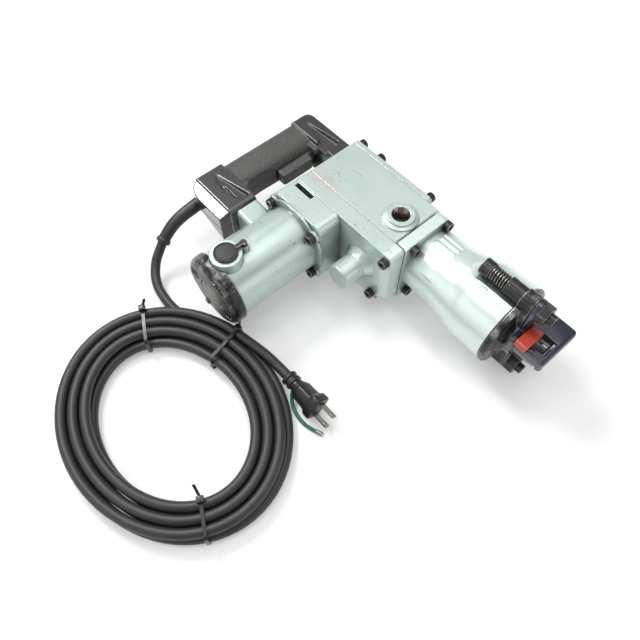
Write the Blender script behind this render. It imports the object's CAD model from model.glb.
"""Looks of an electric demolition hammer lying on its side with its cord coiled beside it. Metres."""

import math

import bmesh
import bpy
from mathutils import Matrix, Vector


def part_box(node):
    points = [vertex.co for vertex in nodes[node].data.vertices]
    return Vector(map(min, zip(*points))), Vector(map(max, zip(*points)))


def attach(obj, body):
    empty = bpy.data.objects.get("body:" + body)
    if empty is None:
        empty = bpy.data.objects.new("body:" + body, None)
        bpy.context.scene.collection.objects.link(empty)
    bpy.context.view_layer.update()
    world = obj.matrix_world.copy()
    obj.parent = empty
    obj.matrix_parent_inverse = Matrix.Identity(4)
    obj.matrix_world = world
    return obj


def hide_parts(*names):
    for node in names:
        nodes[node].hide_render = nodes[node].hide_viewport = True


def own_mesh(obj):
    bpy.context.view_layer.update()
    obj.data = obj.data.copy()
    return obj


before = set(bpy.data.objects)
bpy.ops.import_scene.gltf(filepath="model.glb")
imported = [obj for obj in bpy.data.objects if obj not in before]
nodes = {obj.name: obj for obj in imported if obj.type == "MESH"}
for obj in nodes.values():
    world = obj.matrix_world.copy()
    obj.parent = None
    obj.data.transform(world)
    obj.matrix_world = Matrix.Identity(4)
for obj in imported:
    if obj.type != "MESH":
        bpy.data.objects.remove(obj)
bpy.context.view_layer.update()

# Camera, floor and light
# A hand-held view from above the coil, looking down on the tool at about sixty degrees.
# The floor is a plain pale sheet. Two ceiling lamps, a pale ceiling, a window and two pale walls light it.
MM = 0.001
PHOTO_PIXELS = 640
FOCAL_PIXELS = 600
CAMERA_FROM_SEAM = (200.6, -304.0)
CAMERA_HEIGHT = 530.5
LOOK_DOWN = math.radians(60.37)
TURN = math.radians(48.77)
SENSOR_WIDTH = 36.0
FLOOR_HALF = 4.0
FLOOR_WHITE = 0.28
WORLD_STRENGTH = 0.36

sleeve_low, sleeve_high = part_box("tool_sleeve")
axis_middle = (sleeve_low + sleeve_high) / 2
SEAM = Vector((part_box("barrel")[0].x, axis_middle.y, axis_middle.z))


def at(x, y, z):
    """A place in millimetres from where the barrel's axis crosses its seam with the gear case."""
    return SEAM + Vector((x, y, z)) * MM


camera_data = bpy.data.cameras.new("camera")
camera_data.sensor_width = SENSOR_WIDTH
camera_data.lens = SENSOR_WIDTH * FOCAL_PIXELS / PHOTO_PIXELS
camera = bpy.data.objects.new("camera", camera_data)
camera.location = at(*CAMERA_FROM_SEAM, 0)
camera.location.z = CAMERA_HEIGHT * MM
camera.rotation_euler = (math.pi / 2 - LOOK_DOWN, 0.0, TURN)
bpy.context.scene.collection.objects.link(camera)
bpy.context.scene.camera = camera
bpy.context.scene.view_settings.view_transform = "Standard"


def linear(hex_colour):
    """Linear colour of an sRGB hex value."""
    parts = [int(hex_colour[i:i + 2], 16) / 255 for i in (1, 3, 5)]
    return tuple(c / 12.92 if c <= 0.04045 else ((c + 0.055) / 1.055) ** 2.4 for c in parts) + (1.0,)


def add(tree, kind, settings=None, **sockets):
    """Adds a node, with its settings, and with values or links on its input sockets."""
    made = tree.nodes.new(kind)
    for name, value in (settings or {}).items():
        setattr(made, name, value)
    for name, value in sockets.items():
        socket = made.inputs[int(name[1:])] if name[0] == "_" else made.inputs[name.replace("_", " ")]
        if isinstance(value, bpy.types.NodeSocket):
            tree.links.new(value, socket)
        else:
            socket.default_value = value
    return made


def new_material(name):
    """An empty node material, its tree, and the Object coordinates in it."""
    made = bpy.data.materials.new(name)
    made.use_nodes = True
    made.node_tree.nodes.clear()
    return made, made.node_tree, add(made.node_tree, "ShaderNodeTexCoord").outputs["Object"]


def link_new(name, data):
    """Links a mesh or curve into the scene as an object at the origin."""
    made = bpy.data.objects.new(name, data)
    bpy.context.scene.collection.objects.link(made)
    return made


floor_mesh = bpy.data.meshes.new("floor")
sheet = bmesh.new()
bmesh.ops.create_grid(sheet, x_segments=1, y_segments=1, size=FLOOR_HALF)
sheet.to_mesh(floor_mesh)
sheet.free()
floor = link_new("floor", floor_mesh)
floor_paper, tree = new_material("white_paper")[:2]
paper = add(tree, "ShaderNodeBsdfPrincipled", Base_Color=linear("#f5f5f5"), Roughness=0.9)
white = add(tree, "ShaderNodeEmission", Color=linear("#ffffff"), Strength=1.0)
ray = add(tree, "ShaderNodeLightPath")
direct = add(tree, "ShaderNodeMath", {"operation": "MAXIMUM"}, _0=ray.outputs["Is Camera Ray"],
             _1=ray.outputs["Is Glossy Ray"])
seen = add(tree, "ShaderNodeMath", {"operation": "MAXIMUM"}, _0=direct.outputs[0],
           _1=ray.outputs["Is Transmission Ray"])
share = add(tree, "ShaderNodeMath", {"operation": "MULTIPLY"}, _0=seen.outputs[0], _1=FLOOR_WHITE)
ground = add(tree, "ShaderNodeMixShader", Fac=share.outputs[0], _1=paper.outputs[0], _2=white.outputs[0])
add(tree, "ShaderNodeOutputMaterial", Surface=ground.outputs[0])
floor.data.materials.append(floor_paper)

world = bpy.data.worlds.new("studio")
world.use_nodes = True
world.node_tree.nodes.clear()
sky = add(world.node_tree, "ShaderNodeBackground", Color=linear("#ffffff"), Strength=WORLD_STRENGTH)
add(world.node_tree, "ShaderNodeOutputWorld", Surface=sky.outputs[0])
bpy.context.scene.world = world


def area_light(name, place, target, size, watts):
    """A soft box that faces its target."""
    lamp = bpy.data.lights.new(name, "AREA")
    lamp.shape = "RECTANGLE"
    lamp.size, lamp.size_y = size
    lamp.energy = watts
    made = bpy.data.objects.new(name, lamp)
    made.location = place
    made.rotation_euler = (Vector(target) - Vector(place)).to_track_quat("-Z", "Y").to_euler()
    bpy.context.scene.collection.objects.link(made)


area_light("ceiling_lamp", place=(-1.15, -0.1, 1.35), target=(-0.05, 0.0, 0.05), size=(0.6, 0.5), watts=20)
area_light("ceiling", place=(0.1, 0.3, 1.6), target=(0.0, 0.0, 0.0), size=(1.8, 1.4), watts=8)
area_light("ceiling_tube", place=(0.0, 0.25, 1.9), target=(0.0, 0.25, 0.0), size=(0.9, 0.15), watts=5)
area_light("front_wall", place=(-0.4, -1.5, 0.65), target=(0.0, 0.0, 0.05), size=(1.6, 1.0), watts=5)
area_light("window", place=(-0.4, -0.7, 1.35), target=(0.0, 0.0, 0.05), size=(0.5, 0.4), watts=4)
area_light("side_wall", place=(1.5, 0.45, 0.45), target=(0.0, 0.0, 0.05), size=(1.2, 0.8), watts=4)

# Mains cord
# A round rubber cord, ten millimetres thick: it leaves the guard in a falling bend, runs along the floor,
# winds six loops in two layers, and ends in the plug. The points repeat the route that its solids follow.
CORD_R = 5.0
GUARD_X, GUARD_Y = -194.5, -119.0
AXIS_H = SEAM.z / MM
GUARD_DROP = 26.0
TIE_T, TIE_ROOM = 1.2, 0.3
COIL_LOW = CORD_R + TIE_T + TIE_ROOM
PLUG_ROLL = math.radians(50)
PLUG_HALF_Y, PLUG_HALF_Z, PLUG_CORNER = 12.0, 9.5, 4.0
PLUG_H = ((PLUG_HALF_Y - PLUG_CORNER) * math.sin(PLUG_ROLL)
          + (PLUG_HALF_Z - PLUG_CORNER) * math.cos(PLUG_ROLL) + PLUG_CORNER)
PLUG_AT = (199.5, -54.0, PLUG_H)
COIL_MID = (162.0, -158.0)
COIL_HALF = (118.0, 98.0)
COIL_FROM, COIL_LOOPS, COIL_EXTRA = 130.0, 6, 30.0
COIL_TOTAL = COIL_LOOPS * 360 + COIL_EXTRA
COIL_STEP, COIL_RISE = 10.9, 10.5
COIL_POINTS = 440
ROUTE_STEPS = 6
CORD_FACETS = 6


def from_guard(points):
    """Points counted from the mouth of the guard and over the floor, in millimetres, as places."""
    mouth = at(GUARD_X, GUARD_Y, -AXIS_H)
    return [mouth + Vector(point) * MM for point in points]


def blended(route, steps):
    """A smooth line through the route's points."""
    line = []
    for i in range(len(route) - 1):
        a, b = route[max(i - 1, 0)], route[i]
        c, d = route[i + 1], route[min(i + 2, len(route) - 1)]
        for s in range(steps):
            t = s / steps
            line.append(0.5 * (2 * b + (c - a) * t + (2 * a - 5 * b + 4 * c - d) * t ** 2
                               + (3 * b - 3 * c + d - a) * t ** 3))
    return line + [route[-1]]


def coil_inset(wound):
    """How far the coil has drawn in at an angle wound from its start."""
    return COIL_STEP / 360 * min(wound, COIL_TOTAL - wound)


def coil_point(wound):
    """Place on the coil at an angle wound from its start: in on the floor, up half a turn, out on top."""
    angle = math.radians(COIL_FROM - wound)
    climb = (wound - (COIL_TOTAL - 180) / 2) / 180
    height = COIL_LOW + COIL_RISE * max(0.0, min(1.0, climb))
    return (COIL_MID[0] + (COIL_HALF[0] - coil_inset(wound)) * math.cos(angle),
            COIL_MID[1] + (COIL_HALF[1] - coil_inset(wound)) * math.sin(angle), height)


def tube_curve(name, lines, radius, resolution, widths=None):
    """Round tubes along lines, as a curve of open splines; widths scale the radius point by point."""
    curve = bpy.data.curves.new(name, "CURVE")
    curve.dimensions = "3D"
    curve.bevel_depth = radius * MM
    curve.bevel_resolution = resolution
    curve.use_fill_caps = True
    for line in lines:
        spline = curve.splines.new("POLY")
        spline.use_smooth = True
        spline.points.add(len(line) - 1)
        for i, place in enumerate(line):
            spline.points[i].co = (*place, 1.0)
            spline.points[i].radius = widths[i] if widths else 1.0
    return link_new(name, curve)


def per(size):
    """Texture scale that gives features of a size in millimetres."""
    return 1 / (size * MM)


# Vulcanised rubber: a soft grey sheen, with handling dust in broad patches and a faint pitted skin
rubber, tree, place = new_material("vulcanised_rubber")
dust = add(tree, "ShaderNodeTexNoise", Vector=place, Scale=per(24), Detail=5.0, Roughness=0.6)
pits = add(tree, "ShaderNodeTexNoise", Vector=place, Scale=per(0.9), Detail=3.0)
shade = add(tree, "ShaderNodeMix", {"data_type": "RGBA"}, _0=dust.outputs["Fac"],
            _6=linear("#1d1d1f"), _7=linear("#313234"))
gloss = add(tree, "ShaderNodeMapRange", Value=dust.outputs["Fac"], To_Min=0.36, To_Max=0.56)
skin = add(tree, "ShaderNodeBump", Height=pits.outputs["Fac"], Strength=0.18, Distance=0.0004)
surface = add(tree, "ShaderNodeBsdfPrincipled", Base_Color=shade.outputs[2], Roughness=gloss.outputs[0],
              Normal=skin.outputs[0], IOR=1.52)
add(tree, "ShaderNodeOutputMaterial", Surface=surface.outputs[0])

coil_line = from_guard([coil_point(COIL_TOTAL * i / COIL_POINTS) for i in range(COIL_POINTS + 1)])
tail_route = from_guard([
    (4, -59, AXIS_H - GUARD_DROP), (6.5, -66, 24.5), (10, -73.3, 19.5), (15, -79.3, 15), (22.5, -85, 11.5),
    (34, -89.6, 8.8), (48, -91.5, 7.3), (58.5, -91.7, 6.8), (68.5, -90.5, 6.6), (78, -87.6, COIL_LOW)])
lead_route = from_guard([(157, -58.4, 16.5), (172, -56, 16), (186, -54.5, PLUG_H), PLUG_AT])
cord_line = (blended(tail_route + coil_line[:1], ROUTE_STEPS) + coil_line[1:]
             + blended(coil_line[-1:] + lead_route, ROUTE_STEPS)[1:])
cord = tube_curve("mains_cord", [cord_line], CORD_R, CORD_FACETS)
cord.data.materials.append(rubber)
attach(cord, "machine")
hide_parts("cord_tail", "cord_coil")

# Cord guard
# A moulded rubber sleeve that keeps the cord from kinking where it leaves the handle.
# It tapers along the bend and ends in a thick collar; its root is clamped between the handle halves.
GUARD_R, GUARD_END_R = 7.4, 6.2
GUARD_COLLAR_R, GUARD_COLLAR_L, GUARD_COLLAR_EDGE = 7.6, 4.5, 0.7
GUARD_STEPS = 16

guard_route = from_guard([(x, y, AXIS_H - drop) for x, y, drop in (
    (0, 3, 8), (0, -4, 8), (0.5, -17, 9), (0.5, -29, 11), (1, -41, 15), (2.5, -51, 20.5),
    (4, -59, GUARD_DROP))])
guard_line = blended(guard_route, GUARD_STEPS)
guard_from_end = [sum((b - a).length for a, b in zip(guard_line[i:], guard_line[i + 1:])) / MM
                  for i in range(len(guard_line))]


def guard_radius(from_end):
    """Radius of the guard at a distance from its free end: a taper, then a round-edged collar."""
    taper = GUARD_END_R + (GUARD_R - GUARD_END_R) * from_end / guard_from_end[0]
    if from_end > GUARD_COLLAR_L:
        return taper
    return GUARD_COLLAR_R - GUARD_COLLAR_EDGE * abs(2 * from_end / GUARD_COLLAR_L - 1) ** 4


guard_widths = [guard_radius(from_end) for from_end in guard_from_end]
guard = tube_curve("cord_guard_sleeve", [guard_line], 1.0, CORD_FACETS, guard_widths)
guard.data.materials.append(rubber)
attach(guard, "machine")
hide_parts("cord_guard")

# Cable ties
# Three black nylon ties hold the loops together. Each is a flat band drawn tight round the bundle,
# with a square head that locks it and the rest of the band cut short beside the head.
TIE_ANGLES = (156.0, 104.0, -24.0)
TIE_W = 3.2
TIE_SLACK = 0.6
TIE_BEND = 4.0
TIE_HEAD = (6.0, 6.5, 4.5)
TIE_HEAD_IN, TIE_HEAD_SINK, TIE_HEAD_EDGE = 3.0, 0.5, 0.8
TIE_TAIL_L = (7.0, 12.0, 14.0)
TIE_TAIL_LEAN = (0.9, -0.5, 0.3)
TIE_HEAD_SIDE = (1, 1, -1)
TAIL_ROOT_X, TAIL_HALF_T, TAIL_HALF_W = 2.0, 0.5, 1.3
TAIL_CLIMB, TAIL_CURL = 0.5, 0.16
TAIL_STEPS = 6
MERGE = 0.000001
EDGE_ANGLE = math.radians(35)


def outline(low, high, radius, steps=6):
    """Points round a rectangle with round corners, given as two pairs of millimetres."""
    points = []
    for corner in range(4):
        middle_x = high[0] - radius if corner in (0, 3) else low[0] + radius
        middle_y = high[1] - radius if corner < 2 else low[1] + radius
        for s in range(steps + 1):
            a = math.pi / 2 * (corner + s / steps)
            points.append((middle_x + radius * math.cos(a), middle_y + radius * math.sin(a)))
    return points


def finished(name, shape):
    """Closes a bmesh into a smooth-shaded piece whose edges over an angle stay sharp."""
    bmesh.ops.remove_doubles(shape, verts=shape.verts, dist=MERGE)
    bmesh.ops.recalc_face_normals(shape, faces=shape.faces)
    mesh = bpy.data.meshes.new(name)
    shape.to_mesh(mesh)
    shape.free()
    mesh.shade_smooth()
    mesh.set_sharp_from_angle(angle=EDGE_ANGLE)
    return link_new(name, mesh)


def loops_at(angle):
    """How far each loop that passes an angle round the coil has drawn in."""
    first = (COIL_FROM - angle) % 360
    passes = [first + 360 * k for k in range(COIL_LOOPS + 1)]
    return [coil_inset(wound) for wound in passes if wound <= COIL_TOTAL]


# Nylon: moulded smooth, so it keeps a hard narrow highlight on black
nylon, tree, place = new_material("black_nylon")
scuff = add(tree, "ShaderNodeTexNoise", Vector=place, Scale=per(5), Detail=4.0)
shade = add(tree, "ShaderNodeMix", {"data_type": "RGBA"}, _0=scuff.outputs["Fac"],
            _6=linear("#121314"), _7=linear("#242527"))
gloss = add(tree, "ShaderNodeMapRange", Value=scuff.outputs["Fac"], To_Min=0.2, To_Max=0.4)
surface = add(tree, "ShaderNodeBsdfPrincipled", Base_Color=shade.outputs[2], Roughness=gloss.outputs[0],
              IOR=1.53)
add(tree, "ShaderNodeOutputMaterial", Surface=surface.outputs[0])

cable_ties = []
ties = zip(TIE_ANGLES, TIE_TAIL_L, TIE_TAIL_LEAN, TIE_HEAD_SIDE)
for number, (angle, tail_l, lean, side) in enumerate(ties, 1):
    a = math.radians(angle)
    facing = math.atan2(math.sin(a) / COIL_HALF[1], math.cos(a) / COIL_HALF[0])
    middle_x = COIL_MID[0] + COIL_HALF[0] * math.cos(a)
    middle_y = COIL_MID[1] + COIL_HALF[1] * math.sin(a)
    middle = from_guard([(middle_x, middle_y, 0)])[0]
    upright = Matrix.Rotation(facing, 4, "Z") @ Matrix.Rotation(math.pi / 2, 4, "X")
    stand = Matrix.Translation(middle) @ upright
    outer = CORD_R + TIE_SLACK - min(loops_at(angle))
    inner = -max(loops_at(angle)) - CORD_R - TIE_SLACK
    top = COIL_LOW + COIL_RISE + CORD_R + TIE_SLACK
    tie = bmesh.new()
    band = [tie.verts.new((x * MM, y * MM, -TIE_W / 2 * MM)) for x, y in
            outline((inner - TIE_T / 2, TIE_T / 2), (outer + TIE_T / 2, top + TIE_T / 2), TIE_BEND)]
    rim = [tie.edges.new((band[i - 1], band[i])) for i in range(len(band))]
    wall = bmesh.ops.extrude_edge_only(tie, edges=rim)["geom"]
    far_rim = [v for v in wall if isinstance(v, bmesh.types.BMVert)]
    bmesh.ops.translate(tie, verts=far_rim, vec=(0, 0, TIE_W * MM))
    bmesh.ops.recalc_face_normals(tie, faces=tie.faces)
    bmesh.ops.solidify(tie, geom=tie.faces[:], thickness=TIE_T * MM)
    # The head sits on a shoulder of the band, and the tail leaves it in a slack curve
    head_x = outer - TIE_HEAD_IN if side > 0 else inner + TIE_HEAD_IN
    head_at = Vector((head_x, top + TIE_T / 2 + TIE_HEAD[2] / 2 - TIE_HEAD_SINK, 0)) * MM
    head_size = Matrix.Diagonal((TIE_HEAD[0] * MM, TIE_HEAD[2] * MM, TIE_HEAD[1] * MM, 1))
    head = bmesh.ops.create_cube(tie, size=1.0, matrix=Matrix.Translation(head_at) @ head_size)["verts"]
    head_edges = list({e for v in head for e in v.link_edges})
    bmesh.ops.bevel(tie, geom=head_edges, offset=TIE_HEAD_EDGE * MM, segments=2, profile=0.5,
                    affect="EDGES", material=-1)
    root = [tie.verts.new(head_at + Vector((side * TAIL_ROOT_X, s * TAIL_HALF_T, t * TAIL_HALF_W)) * MM)
            for s, t in ((-1, -1), (-1, 1), (1, 1), (1, -1))]
    end = tie.faces.new(root)
    for step in range(TAIL_STEPS):
        grown = bmesh.ops.extrude_face_region(tie, geom=[end])["geom"]
        end = [f for f in grown if isinstance(f, bmesh.types.BMFace)][0]
        moved = [v for v in grown if isinstance(v, bmesh.types.BMVert)]
        climb = TAIL_CLIMB + TAIL_CURL * step
        run = tail_l / TAIL_STEPS * math.cos(climb)
        rise = tail_l / TAIL_STEPS * math.sin(climb)
        bmesh.ops.translate(tie, verts=moved, vec=Vector((side * run, rise, lean * run)) * MM)
    bmesh.ops.transform(tie, matrix=stand, verts=tie.verts)
    cable_ties.append(finished(f"nylon_tie_{number}", tie))
    cable_ties[-1].data.materials.append(nylon)
    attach(cable_ties[-1], "machine")
    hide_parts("cable_ties")

# Plug
# A moulded rubber mains plug: a grooved neck that bends with the cord, a waist to pull it by, and a wide
# face that carries the blades. It lies on a corner beside the coil.
PLUG_SIDES = 40
CAD_MERGE = 0.00001
# Each ring: its place along the plug, its half width, its half thickness, and how square it is
PLUG_RINGS = (
    (0.0, 5.4, 5.4, 2.0), (0.6, 6.4, 6.4, 2.0), (1.5, 8.0, 8.0, 2.0), (4.0, 8.0, 8.0, 2.0),
    (4.8, 6.6, 6.6, 2.0), (6.6, 6.6, 6.6, 2.0), (7.4, 8.0, 8.0, 2.0), (10.0, 8.0, 8.0, 2.0),
    (10.8, 6.6, 6.6, 2.0), (14.0, 6.8, 7.0, 2.2), (18.0, 8.0, 8.6, 3.2), (20.5, 8.4, 9.0, 4.0),
    (31.0, 8.5, 9.0, 4.5), (34.0, 9.4, 9.1, 4.5), (35.8, 11.4, 9.4, 5.0),
    (37.0, PLUG_HALF_Y, PLUG_HALF_Z, 5.5), (42.8, PLUG_HALF_Y, PLUG_HALF_Z, 6.0),
    (43.7, 11.6, 9.1, 6.0), (44.0, 10.8, 8.3, 6.0))


def lofted(name, rings):
    """A closed skin over rings of as many points each."""
    shape = bmesh.new()
    edges = []
    for ring in rings:
        points = bmesh.ops.create_circle(shape, cap_ends=False, segments=len(ring), radius=MM)["verts"]
        for vert, spot in zip(points, ring):
            vert.co = spot
        edges.append(list({e for v in points for e in v.link_edges}))
    for a, b in zip(edges, edges[1:]):
        bmesh.ops.bridge_loops(shape, edges=a + b)
    bmesh.ops.holes_fill(shape, edges=edges[0] + edges[-1], sides=len(rings[0]))
    return finished(name, shape)


def soft_ring(half_y, half_z, power, sides):
    """Points of a round-cornered outline: a power of two is an ellipse, and more is squarer."""
    turns = [2 * math.pi * k / sides for k in range(sides)]
    return [(half_y * math.copysign(abs(math.cos(t)) ** (2 / power), math.cos(t)),
             half_z * math.copysign(abs(math.sin(t)) ** (2 / power), math.sin(t))) for t in turns]


# Black vinyl: darker and glossier than the cord, with a moulded skin
black_vinyl, tree, place = new_material("black_vinyl")
scuff = add(tree, "ShaderNodeTexNoise", Vector=place, Scale=per(8), Detail=5.0)
shade = add(tree, "ShaderNodeMix", {"data_type": "RGBA"}, _0=scuff.outputs["Fac"],
            _6=linear("#0f0f10"), _7=linear("#1f1f21"))
gloss = add(tree, "ShaderNodeMapRange", Value=scuff.outputs["Fac"], To_Min=0.25, To_Max=0.45)
surface = add(tree, "ShaderNodeBsdfPrincipled", Base_Color=shade.outputs[2], Roughness=gloss.outputs[0],
              IOR=1.54)
add(tree, "ShaderNodeOutputMaterial", Surface=surface.outputs[0])

plug_place = Matrix.Translation(from_guard([PLUG_AT])[0]) @ Matrix.Rotation(PLUG_ROLL, 4, "X")
plug = lofted("moulded_plug", [
    [plug_place @ (Vector((x, y, z)) * MM) for y, z in soft_ring(half_y, half_z, power, PLUG_SIDES)]
    for x, half_y, half_z, power in PLUG_RINGS])
plug.data.materials.append(black_vinyl)
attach(plug, "machine")
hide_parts("plug_body")

# Nickel-plated brass: warm white metal, dulled by sliding in sockets along its length
nickel, tree, place = new_material("nickel_plated_brass")
drawn = add(tree, "ShaderNodeMapping", Vector=place, Scale=(per(12), per(0.5), per(0.5)))
streak = add(tree, "ShaderNodeTexNoise", Vector=drawn.outputs[0], Scale=1.0, Detail=3.0)
shade = add(tree, "ShaderNodeMix", {"data_type": "RGBA"}, _0=streak.outputs["Fac"],
            _6=linear("#6e685c"), _7=linear("#b8b3a6"))
gloss = add(tree, "ShaderNodeMapRange", Value=streak.outputs["Fac"], To_Min=0.15, To_Max=0.38)
surface = add(tree, "ShaderNodeBsdfPrincipled", Base_Color=shade.outputs[2], Roughness=gloss.outputs[0],
              Metallic=1.0)
add(tree, "ShaderNodeOutputMaterial", Surface=surface.outputs[0])


def clad(material, *names):
    """Gives CAD pieces a material."""
    for name in names:
        nodes[name].data.materials.clear()
        nodes[name].data.materials.append(material)


def soften(width, *names):
    """Rounds the sharp edges of CAD pieces by a width in millimetres."""
    for name in names:
        weld = nodes[name].modifiers.new("weld", "WELD")
        weld.merge_threshold = CAD_MERGE
        edge = nodes[name].modifiers.new("edge", "BEVEL")
        edge.width = width * MM
        edge.segments = 2
        edge.limit_method = "ANGLE"
        edge.angle_limit = EDGE_ANGLE
        edge.use_clamp_overlap = False
        edge.loop_slide = False
        shading = nodes[name].modifiers.new("shading", "WEIGHTED_NORMAL")
        shading.keep_sharp = True


clad(nickel, "plug_blades")
soften(0.3, "plug_blades")

# Earth lead
# A thin green lead leaves the plug's neck and lies along the floor to its ring terminal.
# The terminal is pressed from tinned copper strip and crimped over the sheath.
EARTH_R = 1.8
EARTH_FACETS = 4
TERMINAL_L, TERMINAL_R, TERMINAL_T = 6.0, 3.6, 0.9
# Each ring of the crimp: its place along the lead, its half width and its half thickness
CRIMP_RINGS = ((-4.0, 2.2, 2.1), (1.0, 2.2, 2.1), (2.5, 1.6, 0.5), (TERMINAL_L - 3, 1.6, 0.5))
CRIMP_SIDES, CRIMP_POWER = 16, 2.2
EYE_SIDES, EYE_WALL, EYE_GAP = 28, 1.6, 0.5
earth_route = from_guard([
    (213, -57, 12.5), (215, -62, 8), (222, -67, 3.5), (232, -70, 2.2), (242, -70.5, 2.2), (251, -68.5, 2.2),
    (259, -65.5, 2.2)])

# Green vinyl: dull gloss, darker where it has been handled
vinyl, tree, place = new_material("green_vinyl")
grime = add(tree, "ShaderNodeTexNoise", Vector=place, Scale=per(7), Detail=4.0)
shade = add(tree, "ShaderNodeMix", {"data_type": "RGBA"}, _0=grime.outputs["Fac"],
            _6=linear("#0d4436"), _7=linear("#1f7a5e"))
gloss = add(tree, "ShaderNodeMapRange", Value=grime.outputs["Fac"], To_Min=0.3, To_Max=0.5)
surface = add(tree, "ShaderNodeBsdfPrincipled", Base_Color=shade.outputs[2], Roughness=gloss.outputs[0],
              IOR=1.54)
add(tree, "ShaderNodeOutputMaterial", Surface=surface.outputs[0])

earth_line = blended(earth_route, ROUTE_STEPS)
earth = tube_curve("earth_wire", [earth_line], EARTH_R, EARTH_FACETS)
earth.data.materials.append(vinyl)
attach(earth, "machine")
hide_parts("earth_lead")

heading = (earth_line[-1] - earth_line[-2]).normalized()
heading.z = 0
terminal_place = Matrix.Translation(earth_line[-1]) @ heading.to_track_quat("X", "Z").to_matrix().to_4x4()
terminal = bmesh.new()
for x, half_y, half_z in CRIMP_RINGS:
    ring = bmesh.ops.create_circle(terminal, cap_ends=False, segments=CRIMP_SIDES, radius=MM)["verts"]
    for vert, (y, z) in zip(ring, soft_ring(half_y, half_z, CRIMP_POWER, CRIMP_SIDES)):
        vert.co = Vector((x, y, z)) * MM
crimp_edges = CRIMP_SIDES * len(CRIMP_RINGS)
loops = [terminal.edges[i:i + CRIMP_SIDES] for i in range(0, crimp_edges, CRIMP_SIDES)]
for a, b in zip(loops, loops[1:]):
    bmesh.ops.bridge_loops(terminal, edges=a + b)
eye_at = Matrix.Translation(Vector((TERMINAL_L + EYE_GAP, 0, -TERMINAL_T / 2)) * MM)
eye = bmesh.ops.create_circle(terminal, cap_ends=True, segments=EYE_SIDES, radius=TERMINAL_R * MM,
                              matrix=eye_at)["verts"]
eye_face = [f for f in eye[0].link_faces if len(f.verts) == EYE_SIDES]
eye_ring = bmesh.ops.inset_region(terminal, faces=eye_face, thickness=EYE_WALL * MM)["faces"]
bmesh.ops.delete(terminal, geom=eye_face, context="FACES_ONLY")
grown = bmesh.ops.extrude_face_region(terminal, geom=eye_ring)["geom"]
raised = [v for v in grown if isinstance(v, bmesh.types.BMVert)]
bmesh.ops.translate(terminal, verts=raised, vec=(0, 0, TERMINAL_T * MM))
bmesh.ops.transform(terminal, matrix=terminal_place, verts=terminal.verts)
ring_terminal = finished("ring_terminal", terminal)
ring_terminal.data.materials.append(nickel)
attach(ring_terminal, "machine")


# Castings
# Gear case, covers, motor housing and barrel are pressure die castings in aluminium, machined at their
# seams and screw faces. They were dipped, sprayed with a pale green metallic enamel and baked.
COAT_FADE = 0.5
RUB_AT = (-100, -36, 39)
RUB_HALF = (0.036, 0.013, 0.006)
GRIME_REACH = 0.02
CASTINGS = ("gear_case", "gear_cover", "crank_cover", "inner_cover", "motor_housing", "barrel")


def rubbed_edges(tree, radius, noise, share, kept, bare):
    """How bare the edges are rubbed: where the rounded normal leaves the flat one, broken up by a noise."""
    rounded = add(tree, "ShaderNodeBevel", {"samples": 4}, Radius=radius)
    flat = add(tree, "ShaderNodeNewGeometry")
    bend = add(tree, "ShaderNodeVectorMath", {"operation": "DOT_PRODUCT"}, _0=rounded.outputs[0],
               _1=flat.outputs["Normal"])
    broken = add(tree, "ShaderNodeMath", {"operation": "MULTIPLY_ADD"}, _0=noise.outputs["Fac"], _1=-share,
                 _2=bend.outputs["Value"])
    return add(tree, "ShaderNodeMapRange", Value=broken.outputs[0], From_Min=kept, From_Max=bare)


# Metallic enamel: flakes give a soft broad highlight; years of use leave chips, scratches and bare edges
enamel, tree, place = new_material("metallic_enamel")
cloud = add(tree, "ShaderNodeTexNoise", Vector=place, Scale=per(55), Detail=4.0, Roughness=0.55)
flake = add(tree, "ShaderNodeTexNoise", Vector=place, Scale=per(0.7), Detail=1.0)
tone = add(tree, "ShaderNodeMix", {"data_type": "RGBA"}, _0=cloud.outputs["Fac"],
           _6=linear("#b2c4be"), _7=linear("#cad9d5"))
# The barrel, in front of its seam, was sprayed on its own and its coat is paler
along = add(tree, "ShaderNodeSeparateXYZ", Vector=place)
front = add(tree, "ShaderNodeMapRange", Value=along.outputs["X"], From_Min=at(-COAT_FADE, 0, 0).x,
            From_Max=at(COAT_FADE, 0, 0).x, To_Max=0.75)
own_coat = add(tree, "ShaderNodeMix", {"data_type": "RGBA"}, _0=front.outputs[0], _6=tone.outputs[2],
               _7=linear("#d9e8e3"))
# The motor housing, behind the inner cover, has a darker coat
motor_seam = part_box("motor_housing")[1][1]
rear = add(tree, "ShaderNodeMapRange", Value=along.outputs["Y"], From_Min=motor_seam + COAT_FADE * MM,
           From_Max=motor_seam - COAT_FADE * MM, To_Max=0.45)
motor_coat = add(tree, "ShaderNodeMix", {"data_type": "RGBA"}, _0=rear.outputs[0], _6=own_coat.outputs[2],
                 _7=linear("#9cafa9"))
speck = add(tree, "ShaderNodeMapRange", Value=flake.outputs["Fac"], From_Min=0.35, From_Max=0.75, To_Max=0.22)
sparkle = add(tree, "ShaderNodeMix", {"data_type": "RGBA"}, _0=speck.outputs[0], _6=motor_coat.outputs[2],
              _7=linear("#e6eeec"))
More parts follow.
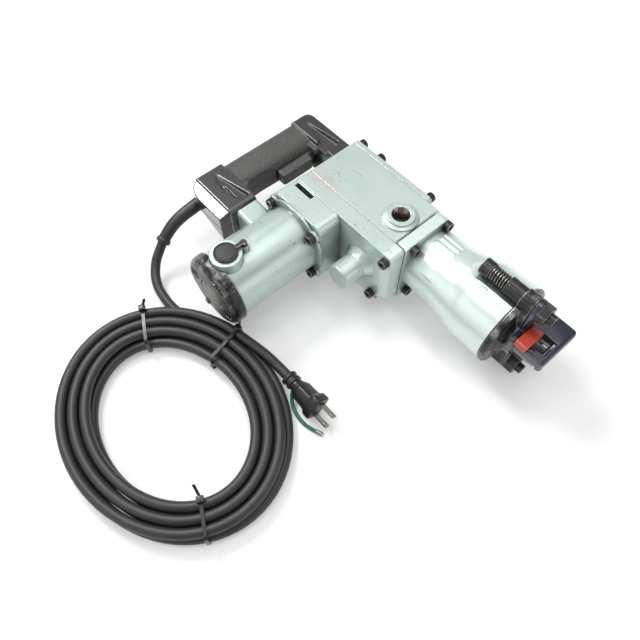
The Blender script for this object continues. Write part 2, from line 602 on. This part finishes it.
# Rub: the top of the cover by the rear seam is scuffed to a pinkish primer
rub_at = at(*RUB_AT)
rub_space = add(tree, "ShaderNodeMapping", Vector=place, Location=[-c / r for c, r in zip(rub_at, RUB_HALF)],
                Scale=[1 / r for r in RUB_HALF])
rub_far = add(tree, "ShaderNodeVectorMath", {"operation": "LENGTH"}, _0=rub_space.outputs[0])
rub_grain = add(tree, "ShaderNodeTexNoise", Vector=place, Scale=per(4), Detail=6.0, Roughness=0.75)
rub_sum = add(tree, "ShaderNodeMath", {"operation": "SUBTRACT"}, _0=rub_grain.outputs["Fac"],
              _1=rub_far.outputs["Value"])
rub = add(tree, "ShaderNodeMapRange", Value=rub_sum.outputs[0], From_Min=-0.4, From_Max=0.2, To_Max=0.6)
scuffed = add(tree, "ShaderNodeMix", {"data_type": "RGBA"}, _0=rub.outputs[0], _6=sparkle.outputs[2],
              _7=linear("#cdc3bd"))
# Chips: small ragged spots down to dark primer, few and scattered
chip_shape = add(tree, "ShaderNodeTexNoise", Vector=place, Scale=per(2.6), Detail=4.0, Roughness=0.7)
chip_where = add(tree, "ShaderNodeTexNoise", Vector=place, Scale=per(30), Detail=2.0)
chip_sum = add(tree, "ShaderNodeMath", {"operation": "MULTIPLY_ADD"}, _0=chip_where.outputs["Fac"], _1=0.55,
               _2=chip_shape.outputs["Fac"])
chip = add(tree, "ShaderNodeMapRange", Value=chip_sum.outputs[0], From_Min=0.985, From_Max=1.01)
# Scratches: long thin marks in one slanting direction, drawn wider than real so that they show
scratch_space = add(tree, "ShaderNodeMapping", Vector=place, Rotation=(0.4, 0.3, 0.9),
                    Scale=(per(26), per(0.9), per(9)))
scratch_lines = add(tree, "ShaderNodeTexNoise", Vector=scratch_space.outputs[0], Scale=1.0, Detail=1.0)
scratch = add(tree, "ShaderNodeMapRange", Value=scratch_lines.outputs["Fac"], From_Min=0.735, From_Max=0.76,
              To_Max=0.7)
marks = add(tree, "ShaderNodeMath", {"operation": "MAXIMUM"}, _0=chip.outputs[0], _1=scratch.outputs[0])
chipped = add(tree, "ShaderNodeMix", {"data_type": "RGBA"}, _0=marks.outputs[0], _6=scuffed.outputs[2],
              _7=linear("#565b5a"))
# Edges rubbed down to the grey metal
edge_noise = add(tree, "ShaderNodeTexNoise", Vector=place, Scale=per(9), Detail=5.0, Roughness=0.7)
rubbed = rubbed_edges(tree, radius=0.0016, noise=edge_noise, share=0.22, kept=0.8, bare=0.74)
coat = add(tree, "ShaderNodeMix", {"data_type": "RGBA"}, _0=rubbed.outputs[0], _6=chipped.outputs[2],
           _7=linear("#7d8583"))
# Grime: grease and rubble dust stay in the corners, where nothing wipes them off
corner = add(tree, "ShaderNodeAmbientOcclusion", {"samples": 6}, Distance=GRIME_REACH)
corner_sum = add(tree, "ShaderNodeMath", {"operation": "MULTIPLY_ADD"}, _0=edge_noise.outputs["Fac"], _1=0.3,
                 _2=corner.outputs["AO"])
grime = add(tree, "ShaderNodeMapRange", Value=corner_sum.outputs[0], From_Min=0.98, From_Max=0.5, To_Max=0.9)
greased = add(tree, "ShaderNodeMix", {"data_type": "RGBA"}, _0=grime.outputs[0], _6=coat.outputs[2],
              _7=linear("#5d6764"))
gloss = add(tree, "ShaderNodeMapRange", Value=cloud.outputs["Fac"], To_Min=0.23, To_Max=0.36)
grain = add(tree, "ShaderNodeBump", Height=flake.outputs["Fac"], Strength=0.12, Distance=0.0003)
surface = add(tree, "ShaderNodeBsdfPrincipled", Base_Color=greased.outputs[2], Metallic=0.45,
              Roughness=gloss.outputs[0], Normal=grain.outputs[0], Coat_Weight=0.2, Coat_Roughness=0.18)
add(tree, "ShaderNodeOutputMaterial", Surface=surface.outputs[0])
clad(enamel, *CASTINGS)
soften(0.5, *CASTINGS)

# Side handle threads
# Both faces of the gear case have a tapped hole for a side handle; the thread is cut in the bare casting
# and is dark with oil. The ridges stand inside the tapping hole, so the drawn hole keeps its size.
SIDE_HOLE_X, SIDE_HOLE_Y, SIDE_HOLE_TOP = -18.5, -13.0, 43.6
BOTH_FACES = (("upper", 1), ("lower", -1))
THREAD_PITCH, THREAD_TURNS = 2.5, 6
THREAD_ROOT, THREAD_CREST, THREAD_BACK = 8.7, 7.8, 8.85


def lathe(name, profile, centre, axis, closed=False, steps=64):
    """A turned piece: the profile's points are radius and place along the axis, in millimetres."""
    along = Vector(axis).normalized()
    side = along.orthogonal().normalized()
    shape = bmesh.new()
    points = [shape.verts.new(centre + (side * r + along * d) * MM) for r, d in profile]
    for a, b in zip(points, points[1:] + points[:closed]):
        shape.edges.new((a, b))
    bmesh.ops.spin(shape, geom=shape.verts[:] + shape.edges[:], cent=centre, axis=along, angle=2 * math.pi,
                   steps=steps, use_merge=True)
    return finished(name, shape)


thread_profile = [(THREAD_BACK, 0)]
for turn in range(THREAD_TURNS):
    thread_profile += [(THREAD_ROOT, -THREAD_PITCH * turn), (THREAD_CREST, -THREAD_PITCH * (turn + 0.5))]
thread_profile += [(THREAD_ROOT, -THREAD_PITCH * THREAD_TURNS), (THREAD_BACK, -THREAD_PITCH * THREAD_TURNS)]

# Oily cast metal: dark reddish brown with bright crests
oily, tree, place = new_material("oily_cut_aluminium")
stain = add(tree, "ShaderNodeTexNoise", Vector=place, Scale=per(5), Detail=4.0)
shade = add(tree, "ShaderNodeMix", {"data_type": "RGBA"}, _0=stain.outputs["Fac"],
            _6=linear("#54463e"), _7=linear("#b9b0aa"))
gloss = add(tree, "ShaderNodeMapRange", Value=stain.outputs["Fac"], To_Min=0.15, To_Max=0.35)
surface = add(tree, "ShaderNodeBsdfPrincipled", Base_Color=shade.outputs[2], Metallic=1.0,
              Roughness=gloss.outputs[0])
add(tree, "ShaderNodeOutputMaterial", Surface=surface.outputs[0])
for name, way in BOTH_FACES:
    hole_at = at(SIDE_HOLE_X, SIDE_HOLE_Y, way * SIDE_HOLE_TOP)
    thread = lathe(f"side_thread_{name}", thread_profile, hole_at, (0, 0, way), closed=True)
    thread.data.materials.append(oily)
    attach(thread, "machine")

# Cast bosses
# Round bosses stand out of the castings where a screw's thread lies close to a wall: beside the barrel's
# flange and down the rear wall. A shoulder carries the barrel's round back over the connecting rod.
FLANGE_SCREW_Y, FLANGE_SCREW_Z = 17.5, 32.5
FLANGE_BOSS = ((0.0, -14.9), (4.4, -14.9), (5.1, -14.0), (5.5, 10.8), (5.1, 11.9), (0.0, 11.9))
MOTOR_SCREW_X, MOTOR_SCREW_Z = -119.5, 27.0
MOTOR_BOSS = ((0.0, -83.4), (5.6, -83.4), (6.2, -82.6), (5.5, -39.5), (4.6, -38.0), (0.0, -38.0))
SHOULDER = ((0.0, -14.8), (20.0, -14.8), (22.6, -13.8), (25.8, -10.5), (28.6, -6.5), (30.5, -2.5),
            (31.4, 2.0), (0.0, 2.0))
SHOULDER_CUT = 18.6
BOSS_STEPS, SHOULDER_STEPS = 40, 96

bosses = []
for name, way in BOTH_FACES:
    flange_at = at(0, FLANGE_SCREW_Y, way * FLANGE_SCREW_Z)
    bosses.append(lathe(f"flange_boss_{name}", FLANGE_BOSS, flange_at, (1, 0, 0), steps=BOSS_STEPS))
    motor_at = at(MOTOR_SCREW_X, 0, way * MOTOR_SCREW_Z)
    bosses.append(lathe(f"motor_boss_{name}", MOTOR_BOSS, motor_at, (0, 1, 0), steps=BOSS_STEPS))
shoulder = lathe("barrel_shoulder", SHOULDER, at(0, 0, 0), (1, 0, 0), steps=SHOULDER_STEPS)
cut = bmesh.new()
cut.from_mesh(shoulder.data)
bmesh.ops.bisect_plane(cut, geom=cut.verts[:] + cut.edges[:] + cut.faces[:], plane_co=at(0, SHOULDER_CUT, 0),
                       plane_no=(0, 1, 0), clear_inner=True)
bmesh.ops.holes_fill(cut, edges=[e for e in cut.edges if e.is_boundary])
cut.to_mesh(shoulder.data)
cut.free()
for boss in bosses + [shoulder]:
    boss.data.materials.append(enamel)
    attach(boss, "machine")

# Tail cover and front cover
# Two dark castings at the ends: the vented cover over the motor's tail bearing, and the forged front cover
# with the ears of the retainer bolts. Their black lacquer is worn to brown metal where they are set down.
MOTOR_X, TAIL_Y = -90.5, -184.0
HUB_R = 0.016
NOSE_X = 130.0

# Black lacquer on iron: satin, with warm bare patches, pale rubbed edges and a nose polished by chisels
lacquer, tree, place = new_material("black_lacquer")
wear = add(tree, "ShaderNodeTexNoise", Vector=place, Scale=per(14), Detail=6.0, Roughness=0.65)
bare = add(tree, "ShaderNodeMapRange", Value=wear.outputs["Fac"], From_Min=0.6, From_Max=0.78, To_Max=0.7)
hub_at = at(MOTOR_X, TAIL_Y, 0)
hub_space = add(tree, "ShaderNodeMapping", Vector=place, Location=[-c / HUB_R for c in hub_at],
                Scale=[1 / HUB_R] * 3)
hub_far = add(tree, "ShaderNodeVectorMath", {"operation": "LENGTH"}, _0=hub_space.outputs[0])
hub_sum = add(tree, "ShaderNodeMath", {"operation": "MULTIPLY_ADD"}, _0=wear.outputs["Fac"], _1=-0.5,
              _2=hub_far.outputs["Value"])
hub_bare = add(tree, "ShaderNodeMapRange", Value=hub_sum.outputs[0], From_Min=0.95, From_Max=0.7)
worn = add(tree, "ShaderNodeMath", {"operation": "MAXIMUM"}, _0=bare.outputs[0], _1=hub_bare.outputs[0])
brown = add(tree, "ShaderNodeMix", {"data_type": "RGBA"}, _0=worn.outputs[0], _6=linear("#222223"),
            _7=linear("#625a51"))
rubbed = rubbed_edges(tree, radius=0.0014, noise=wear, share=0.3, kept=0.85, bare=0.75)
shade = add(tree, "ShaderNodeMix", {"data_type": "RGBA"}, _0=rubbed.outputs[0], _6=brown.outputs[2],
            _7=linear("#c2c1be"))
metal = add(tree, "ShaderNodeMapRange", Value=rubbed.outputs[0], To_Min=0.3, To_Max=1.0)
along = add(tree, "ShaderNodeSeparateXYZ", Vector=place)
nose = add(tree, "ShaderNodeMapRange", Value=along.outputs["X"], From_Min=at(NOSE_X, 0, 0).x,
           From_Max=at(NOSE_X + 1, 0, 0).x)
satin = add(tree, "ShaderNodeMapRange", Value=wear.outputs["Fac"], To_Min=0.16, To_Max=0.42)
gloss = add(tree, "ShaderNodeMix", _0=nose.outputs[0], _2=satin.outputs[0], _3=0.1)
sand = add(tree, "ShaderNodeTexNoise", Vector=place, Scale=per(1.1), Detail=3.0)
skin = add(tree, "ShaderNodeBump", Height=sand.outputs["Fac"], Strength=0.25, Distance=0.0004)
surface = add(tree, "ShaderNodeBsdfPrincipled", Base_Color=shade.outputs[2], Metallic=metal.outputs[0],
              Roughness=gloss.outputs[0], Normal=skin.outputs[0], Coat_Weight=nose.outputs[0])
add(tree, "ShaderNodeOutputMaterial", Surface=surface.outputs[0])
clad(lacquer, "tail_cover", "front_cover")
soften(0.5, "tail_cover", "front_cover")

# Handle
# Two halves moulded in black glass-filled nylon meet on the middle plane and are screwed together.
# The grip is spark-textured, and the arms are polished on their sides.
HANDLE_VOXEL = 0.55
HANDLE_FLOW = 10
HANDLE_KEEP = 0.75
GRIP_NEAR, GRIP_FAR = -86.0, 4.0
LEDGE_Y = GUARD_Y + 0.5
ARM_FADE, LEDGE_FADE = 0.004, 0.002


def moulded(name, node, voxel, passes, keep):
    """A copy of a CAD piece whose edges have all flowed round, as a moulding's do."""
    shape = bmesh.new()
    shape.from_mesh(nodes[node].data)
    bmesh.ops.remove_doubles(shape, verts=shape.verts, dist=CAD_MERGE)
    mesh = bpy.data.meshes.new(name)
    shape.to_mesh(mesh)
    shape.free()
    piece = link_new(name, mesh)
    remesh = piece.modifiers.new("flow", "REMESH")
    remesh.mode = "VOXEL"
    remesh.voxel_size = voxel * MM
    remesh.use_smooth_shade = True
    relax = piece.modifiers.new("relax", "SMOOTH")
    relax.factor = 0.5
    relax.iterations = passes
    thin = piece.modifiers.new("thin", "DECIMATE")
    thin.ratio = keep
    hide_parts(node)
    return piece


# Glass-filled nylon: grainy and matte on the grip, satin on the arms, and glossy on the near ledge
handle_nylon, tree, place = new_material("glass_filled_nylon")
handled = add(tree, "ShaderNodeTexNoise", Vector=place, Scale=per(30), Detail=5.0, Roughness=0.6)
spark = add(tree, "ShaderNodeTexNoise", Vector=place, Scale=per(1.3), Detail=3.0, Roughness=0.7)
across = add(tree, "ShaderNodeSeparateXYZ", Vector=place)
near_y, far_y, ledge_y = [at(0, y, 0).y for y in (GRIP_NEAR, GRIP_FAR, LEDGE_Y)]
near_arm = add(tree, "ShaderNodeMapRange", Value=across.outputs["Y"], From_Min=near_y,
               From_Max=near_y - ARM_FADE)
far_arm = add(tree, "ShaderNodeMapRange", Value=across.outputs["Y"], From_Min=far_y,
              From_Max=far_y + ARM_FADE)
arms = add(tree, "ShaderNodeMath", {"operation": "MAXIMUM"}, _0=near_arm.outputs[0], _1=far_arm.outputs[0])
ledge = add(tree, "ShaderNodeMapRange", Value=across.outputs["Y"], From_Min=ledge_y,
            From_Max=ledge_y - LEDGE_FADE)
grey = add(tree, "ShaderNodeMix", {"data_type": "RGBA"}, _0=handled.outputs["Fac"],
           _6=linear("#252525"), _7=linear("#3c3b3a"))
grain_light = add(tree, "ShaderNodeMapRange", Value=spark.outputs["Fac"], From_Min=0.4, From_Max=0.7,
                  To_Max=0.8)
grain_share = add(tree, "ShaderNodeMix", _0=arms.outputs[0], _2=grain_light.outputs[0], _3=0.0)
shade = add(tree, "ShaderNodeMix", {"data_type": "RGBA"}, _0=grain_share.outputs[0], _6=grey.outputs[2],
            _7=linear("#5d5a56"))
grain_depth = add(tree, "ShaderNodeMapRange", Value=arms.outputs[0], To_Min=0.5, To_Max=0.05)
matte = add(tree, "ShaderNodeMapRange", Value=handled.outputs["Fac"], To_Min=0.42, To_Max=0.58)
satin = add(tree, "ShaderNodeMix", _0=arms.outputs[0], _2=matte.outputs[0], _3=0.26)
gloss = add(tree, "ShaderNodeMix", _0=ledge.outputs[0], _2=satin.outputs[0], _3=0.14)
skin = add(tree, "ShaderNodeBump", Height=spark.outputs["Fac"], Strength=grain_depth.outputs[0],
           Distance=0.0005)
surface = add(tree, "ShaderNodeBsdfPrincipled", Base_Color=shade.outputs[2], Roughness=gloss.outputs[0],
              Normal=skin.outputs[0], IOR=1.53, Coat_Weight=arms.outputs[0], Coat_Roughness=0.1)
add(tree, "ShaderNodeOutputMaterial", Surface=surface.outputs[0])
for half in ("upper", "lower"):
    shell = moulded(f"handle_shell_{half}", f"handle_{half}", HANDLE_VOXEL, HANDLE_FLOW, HANDLE_KEEP)
    shell.data.materials.append(handle_nylon)
    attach(shell, "machine")
clad(handle_nylon, "trigger", "switch_body", "fan")
soften(1.4, "trigger")

# Brush caps
# Screw-in plastic caps that hold the carbon brushes, one on each face of the motor.
# Each has a raised rim round a flat dish.
BRUSH_Y = -160.0
CAP_SEAT = 42.0
CAP_PROFILE = ((0.0, 2.3), (8.5, 2.25), (8.9, 2.1), (9.2, 1.7), (9.6, 1.7), (9.8, 2.2), (10.1, 2.5),
               (10.6, 2.4), (10.9, 2.0), (11.0, 1.4), (11.0, 0.0), (8.4, 0.0), (8.4, -2.4), (0.0, -2.4))

# Phenolic plastic: dull black with a fine moulded grain
phenolic, tree, place = new_material("phenolic_plastic")
grit = add(tree, "ShaderNodeTexNoise", Vector=place, Scale=per(1.1), Detail=3.0)
shade = add(tree, "ShaderNodeMix", {"data_type": "RGBA"}, _0=grit.outputs["Fac"],
            _6=linear("#1c1c1d"), _7=linear("#424344"))
skin = add(tree, "ShaderNodeBump", Height=grit.outputs["Fac"], Strength=0.4, Distance=0.0004)
surface = add(tree, "ShaderNodeBsdfPrincipled", Base_Color=shade.outputs[2], Roughness=0.6,
              Normal=skin.outputs[0])
add(tree, "ShaderNodeOutputMaterial", Surface=surface.outputs[0])
for name, way in BOTH_FACES:
    cap = lathe(f"brush_cap_{name}", CAP_PROFILE, at(MOTOR_X, BRUSH_Y, way * CAP_SEAT), (0, 0, way))
    cap.data.materials.append(phenolic)
    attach(cap, "machine")
    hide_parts("brush_caps")

# Screws and pins
# Socket-head cap screws in alloy steel, blackened in hot oxide, with the sockets rubbed by the key.
# The retainer's bolts, nuts and bushes, the brush caps' clips and the two pins are blackened as they are.
SCREWS = ("gear_cover_screws", "crank_cover_screws", "flange_screws", "motor_screws", "tail_screws",
          "handle_screws", "cap_clips", "retainer_bolts", "retainer_nuts", "bolt_bushes", "latch_pin",
          "trigger_pin")

# Black oxide: dark satin metal with a brownish bloom, rubbed bright at the rims
oxide, tree, place = new_material("black_oxide_steel")
bloom = add(tree, "ShaderNodeTexNoise", Vector=place, Scale=per(4), Detail=5.0, Roughness=0.65)
black = add(tree, "ShaderNodeMix", {"data_type": "RGBA"}, _0=bloom.outputs["Fac"],
            _6=linear("#212224"), _7=linear("#4e4c4a"))
rubbed = rubbed_edges(tree, radius=0.0011, noise=bloom, share=0.25, kept=0.84, bare=0.74)
shade = add(tree, "ShaderNodeMix", {"data_type": "RGBA"}, _0=rubbed.outputs[0], _6=black.outputs[2],
            _7=linear("#bdbbb6"))
gloss = add(tree, "ShaderNodeMapRange", Value=bloom.outputs["Fac"], To_Min=0.17, To_Max=0.42)
surface = add(tree, "ShaderNodeBsdfPrincipled", Base_Color=shade.outputs[2], Metallic=0.75,
              Roughness=gloss.outputs[0])
add(tree, "ShaderNodeOutputMaterial", Surface=surface.outputs[0])
clad(oxide, *SCREWS)
soften(0.4, *SCREWS)

# Retainer springs
# Two short compression springs on the retainer bolts, wound from oil-tempered wire with closed ends.
# They let the retainer give a few millimetres when a chisel breaks through.
SPRING_X, SPRING_L, SPRING_R = 79.5, 17.0, 6.7
WIRE_R, WIRE_FACETS = 0.95, 3
BOLT_OFF = 46.0
CURLS = 6
CURL_STEPS = 24
CLOSED_TURN = 0.8


def spring_rise(turn):
    """Share of the spring's length reached at a turn: flat for the closed ends, even between."""
    return max(0.0, min(1.0, (turn - CLOSED_TURN) / (CURLS - 2 * CLOSED_TURN)))


def spring_line(side):
    """Centre line of one spring's wire."""
    line = []
    for i in range(CURLS * CURL_STEPS + 1):
        a = 2 * math.pi * i / CURL_STEPS
        closed = 2 * WIRE_R * min(i / CURL_STEPS, CLOSED_TURN)
        closed += 2 * WIRE_R * max(0.0, i / CURL_STEPS - CURLS + CLOSED_TURN)
        open_l = SPRING_L - 2 * WIRE_R - 4 * WIRE_R * CLOSED_TURN
        x = SPRING_X + WIRE_R + closed + open_l * spring_rise(i / CURL_STEPS)
        line.append(at(x, SPRING_R * math.cos(a), side * BOLT_OFF + SPRING_R * math.sin(a)))
    return line


# Spring wire: drawn steel, bright where the oil has worn off the outer curls
wire, tree, place = new_material("oil_tempered_wire")
oil = add(tree, "ShaderNodeTexNoise", Vector=place, Scale=per(3), Detail=4.0)
shade = add(tree, "ShaderNodeMix", {"data_type": "RGBA"}, _0=oil.outputs["Fac"],
            _6=linear("#4a4947"), _7=linear("#a3a19d"))
gloss = add(tree, "ShaderNodeMapRange", Value=oil.outputs["Fac"], To_Min=0.15, To_Max=0.35)
surface = add(tree, "ShaderNodeBsdfPrincipled", Base_Color=shade.outputs[2], Metallic=1.0,
              Roughness=gloss.outputs[0])
add(tree, "ShaderNodeOutputMaterial", Surface=surface.outputs[0])

coils = tube_curve("spring_wire", [spring_line(side) for side in (1, -1)], WIRE_R, WIRE_FACETS)
bpy.context.view_layer.update()
spring_mesh = bpy.data.meshes.new_from_object(coils)
bpy.data.objects.remove(coils)
springs = link_new("retainer_springs", spring_mesh)
springs.data.materials.clear()
springs.data.materials.append(wire)
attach(springs, "machine")
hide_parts("bolt_springs")
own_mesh(springs)

# Tool retainer and latch
# A steel pressing over the nose, on two sprung bolts, keeps the chisel's collar in; the red latch swings
# aside on its pin to let the chisel out.
RETAINER_VOXEL = 0.45
RETAINER_FLOW = 5
RETAINER_KEEP = 0.3

# Blue-black enamel on steel: glossy, with a cold highlight and bare worn corners
blue_black, tree, place = new_material("blue_black_enamel")
wear = add(tree, "ShaderNodeTexNoise", Vector=place, Scale=per(8), Detail=6.0, Roughness=0.7)
bare = add(tree, "ShaderNodeMapRange", Value=wear.outputs["Fac"], From_Min=0.6, From_Max=0.72)
shade = add(tree, "ShaderNodeMix", {"data_type": "RGBA"}, _0=bare.outputs[0], _6=linear("#232638"),
            _7=linear("#585a70"))
gloss = add(tree, "ShaderNodeMapRange", Value=wear.outputs["Fac"], To_Min=0.12, To_Max=0.36)
surface = add(tree, "ShaderNodeBsdfPrincipled", Base_Color=shade.outputs[2], Metallic=0.5,
              Roughness=gloss.outputs[0], Coat_Weight=0.9, Coat_Roughness=0.06)
add(tree, "ShaderNodeOutputMaterial", Surface=surface.outputs[0])
pressing = moulded("retainer_pressing", "tool_retainer", RETAINER_VOXEL, RETAINER_FLOW, RETAINER_KEEP)
pressing.data.materials.append(blue_black)
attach(pressing, "retainer")

# Red enamel on steel: bright and glossy, dulled by rubble dust
red_enamel, tree, place = new_material("red_enamel")
wear = add(tree, "ShaderNodeTexNoise", Vector=place, Scale=per(5), Detail=6.0, Roughness=0.7)
bare = add(tree, "ShaderNodeMapRange", Value=wear.outputs["Fac"], From_Min=0.62, From_Max=0.7)
shade = add(tree, "ShaderNodeMix", {"data_type": "RGBA"}, _0=bare.outputs[0], _6=linear("#ad3d2a"),
            _7=linear("#7c3428"))
gloss = add(tree, "ShaderNodeMapRange", Value=wear.outputs["Fac"], To_Min=0.25, To_Max=0.45)
surface = add(tree, "ShaderNodeBsdfPrincipled", Base_Color=shade.outputs[2], Roughness=gloss.outputs[0],
              Coat_Weight=0.3)
add(tree, "ShaderNodeOutputMaterial", Surface=surface.outputs[0])
clad(red_enamel, "latch")
soften(0.5, "latch")

# Inside the machine
# Motor, gears and striking train are hidden by the castings, and show only through vents and the nose.
# Shafts, gears and the striker are ground steel; the windings are copper and the brush gear brass.

# Ground steel: a fine grain from the wheel, too fine to show at its real size and so drawn coarser
steel, tree, place = new_material("ground_steel")
grain = add(tree, "ShaderNodeTexNoise", Vector=place, Scale=per(1.5), Detail=4.0)
shade = add(tree, "ShaderNodeMix", {"data_type": "RGBA"}, _0=grain.outputs["Fac"],
            _6=linear("#74797c"), _7=linear("#a9aeb1"))
gloss = add(tree, "ShaderNodeMapRange", Value=grain.outputs["Fac"], To_Min=0.22, To_Max=0.42)
surface = add(tree, "ShaderNodeBsdfPrincipled", Base_Color=shade.outputs[2], Roughness=gloss.outputs[0],
              Metallic=1.0)
add(tree, "ShaderNodeOutputMaterial", Surface=surface.outputs[0])

# Enamelled copper: strands of wire side by side
copper, tree, place = new_material("enamelled_copper")
strand = add(tree, "ShaderNodeTexWave", {"bands_direction": "DIAGONAL"}, Vector=place, Scale=per(4),
             Distortion=1.5)
shade = add(tree, "ShaderNodeMix", {"data_type": "RGBA"}, _0=strand.outputs["Fac"],
            _6=linear("#5c3219"), _7=linear("#b26f3c"))
lay = add(tree, "ShaderNodeBump", Height=strand.outputs["Fac"], Strength=0.5, Distance=0.0006)
surface = add(tree, "ShaderNodeBsdfPrincipled", Base_Color=shade.outputs[2], Roughness=0.3, Metallic=0.8,
              Normal=lay.outputs[0])
add(tree, "ShaderNodeOutputMaterial", Surface=surface.outputs[0])

# Carbon: dull black with a faint grain
carbon, tree, place = new_material("pressed_carbon")
grit = add(tree, "ShaderNodeTexNoise", Vector=place, Scale=per(0.8), Detail=3.0)
shade = add(tree, "ShaderNodeMix", {"data_type": "RGBA"}, _0=grit.outputs["Fac"],
            _6=linear("#161617"), _7=linear("#333335"))
surface = add(tree, "ShaderNodeBsdfPrincipled", Base_Color=shade.outputs[2], Roughness=0.7)
add(tree, "ShaderNodeOutputMaterial", Surface=surface.outputs[0])

clad(steel, "cylinder_liner", "tool_sleeve", "stator_core", "armature_shaft", "motor_bearings",
     "intermediate_shaft", "intermediate_wheel", "crank_wheel", "crankshaft", "gear_bearings",
     "connecting_rod", "crank_pin", "wrist_pin", "piston", "striker", "impact_bolt")
clad(copper, "field_coils", "armature_core", "commutator")
clad(nickel, "brush_holders")
clad(carbon, "carbon_brushes")
clad(rubber, "piston_ring", "striker_ring", "damper_ring")
